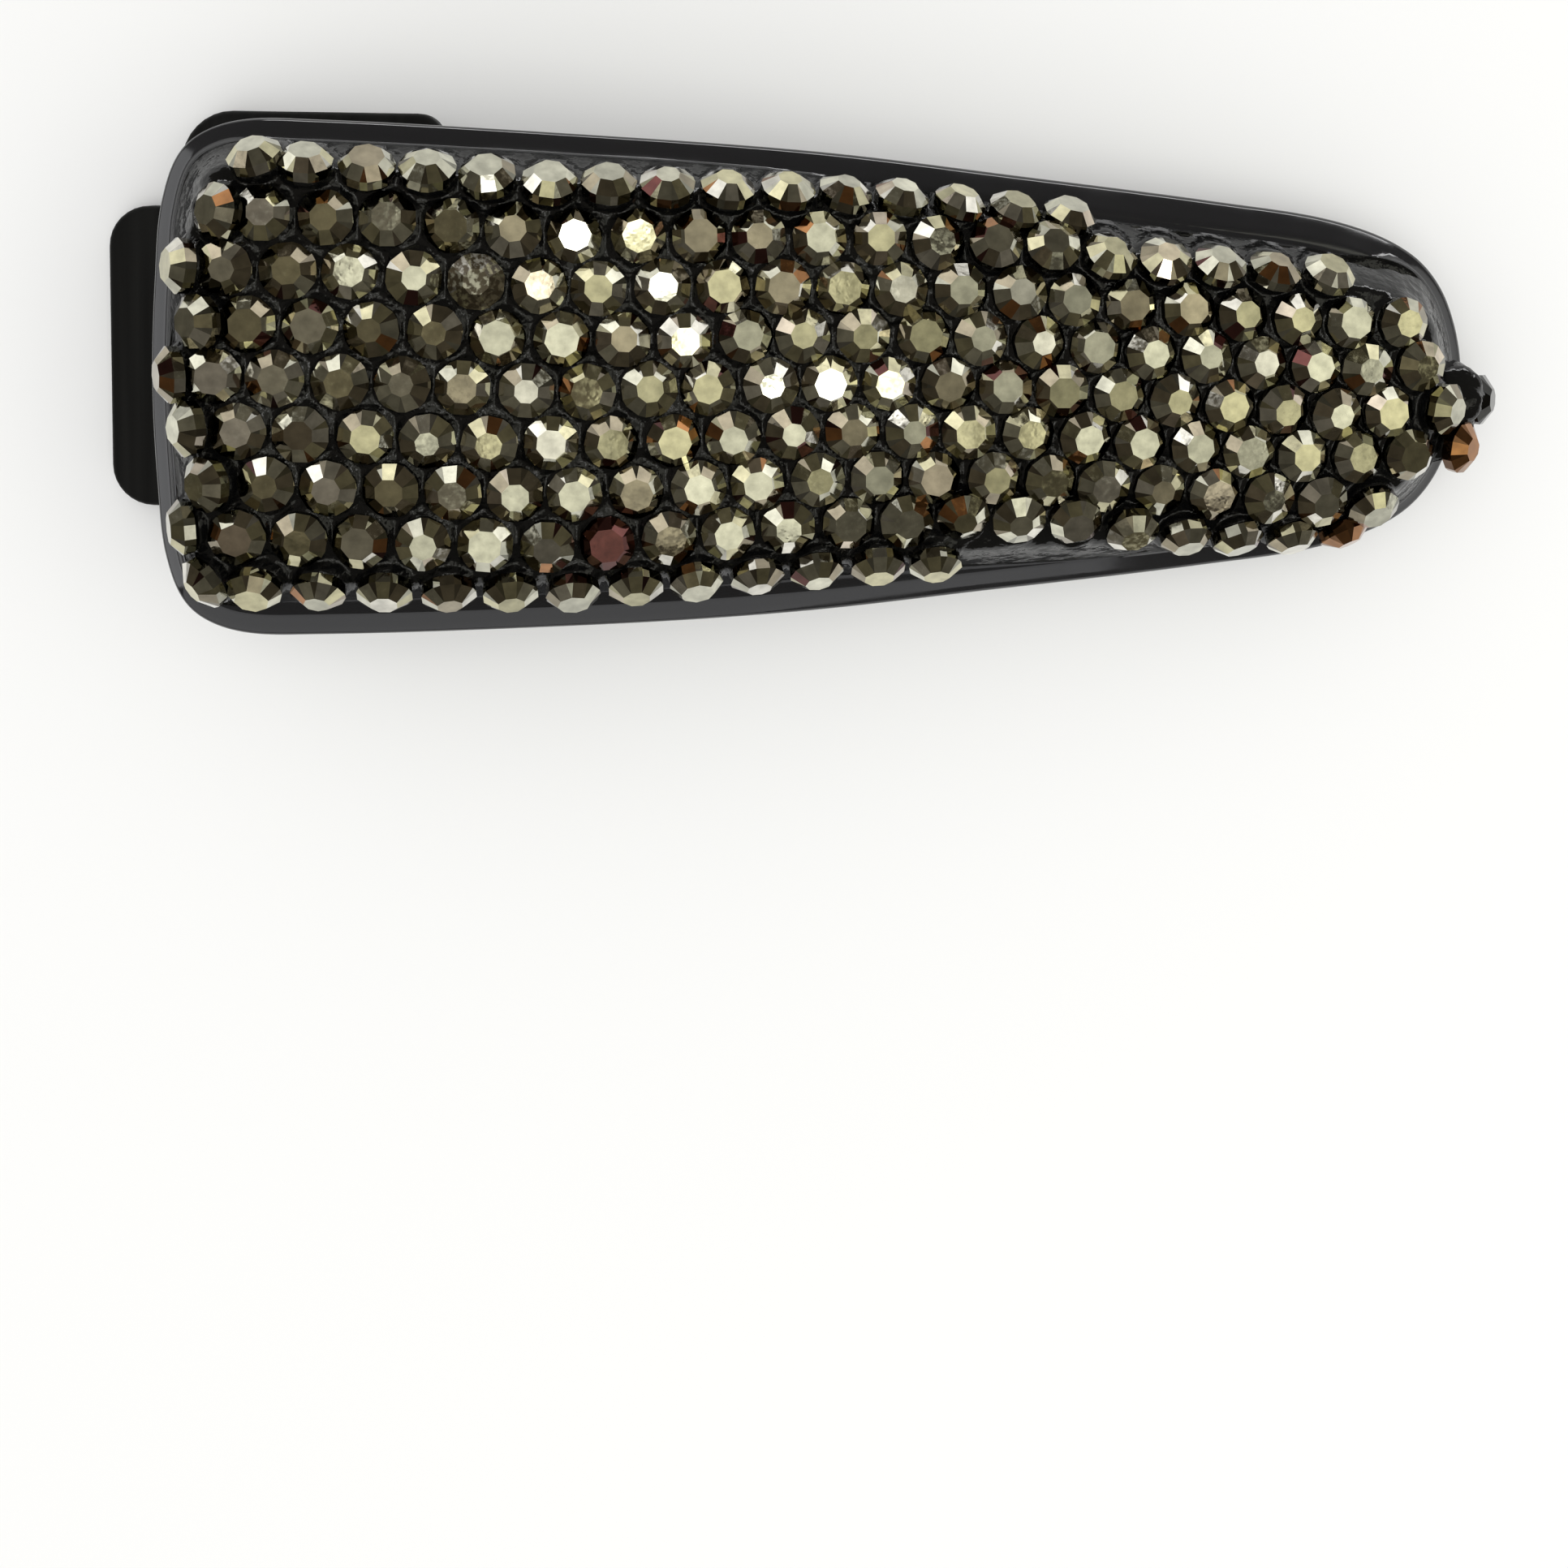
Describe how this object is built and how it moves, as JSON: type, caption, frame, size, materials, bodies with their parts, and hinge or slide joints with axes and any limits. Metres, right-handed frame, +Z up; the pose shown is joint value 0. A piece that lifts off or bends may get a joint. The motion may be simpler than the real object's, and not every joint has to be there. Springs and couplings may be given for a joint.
{
  "type": "rhinestone hair clip",
  "caption": "Tapering beak hair clip: crowned upper arm covered in dark faceted rhinestones, arched toothed lower arm with a finger tab, sprung hinge.",
  "frame": {"origin": "on the table, under the middle of the clip's box, with the clip closed and lying on its lower arm", "axes": "+X from the finger end to the tip, +Y across the clip, +Z up through the stones"},
  "size_m": [0.1039, 0.0372, 0.0233],
  "materials": {
    "gloss_black": "glossy moulded plastic",
    "matte_black": "matte moulded plastic with faint drawing lines",
    "steel": "drawn spring steel",
    "glue": "cured glossy black adhesive",
    "stones": "faceted, hematite coated"
  },
  "bodies": {
    "lower": {"lower_arm": "matte_black", "hinge_pin": "steel", "torsion_spring": "steel"},
    "upper": {"upper_arm": "gloss_black", "glue_layer": "glue", "stone_row_1": "stones", "stone_row_2": "stones", "stone_row_3": "stones", "stone_row_4": "stones", "stone_row_5": "stones", "stone_row_6": "stones", "stone_row_7": "stones", "stone_row_8": "stones", "stone_row_9": "stones"}
  },
  "joints": [
    {"name": "jaw_hinge", "type": "hinge", "parent": "lower", "child": "upper", "pos_m": [-0.021, 0, 0.0113], "axis": [0, -1, 0], "range_deg": [0, 26], "stiffness_Nm_per_rad": 0.3, "springref_deg": -38.39, "deforming": ["torsion_spring"]}
  ]
}
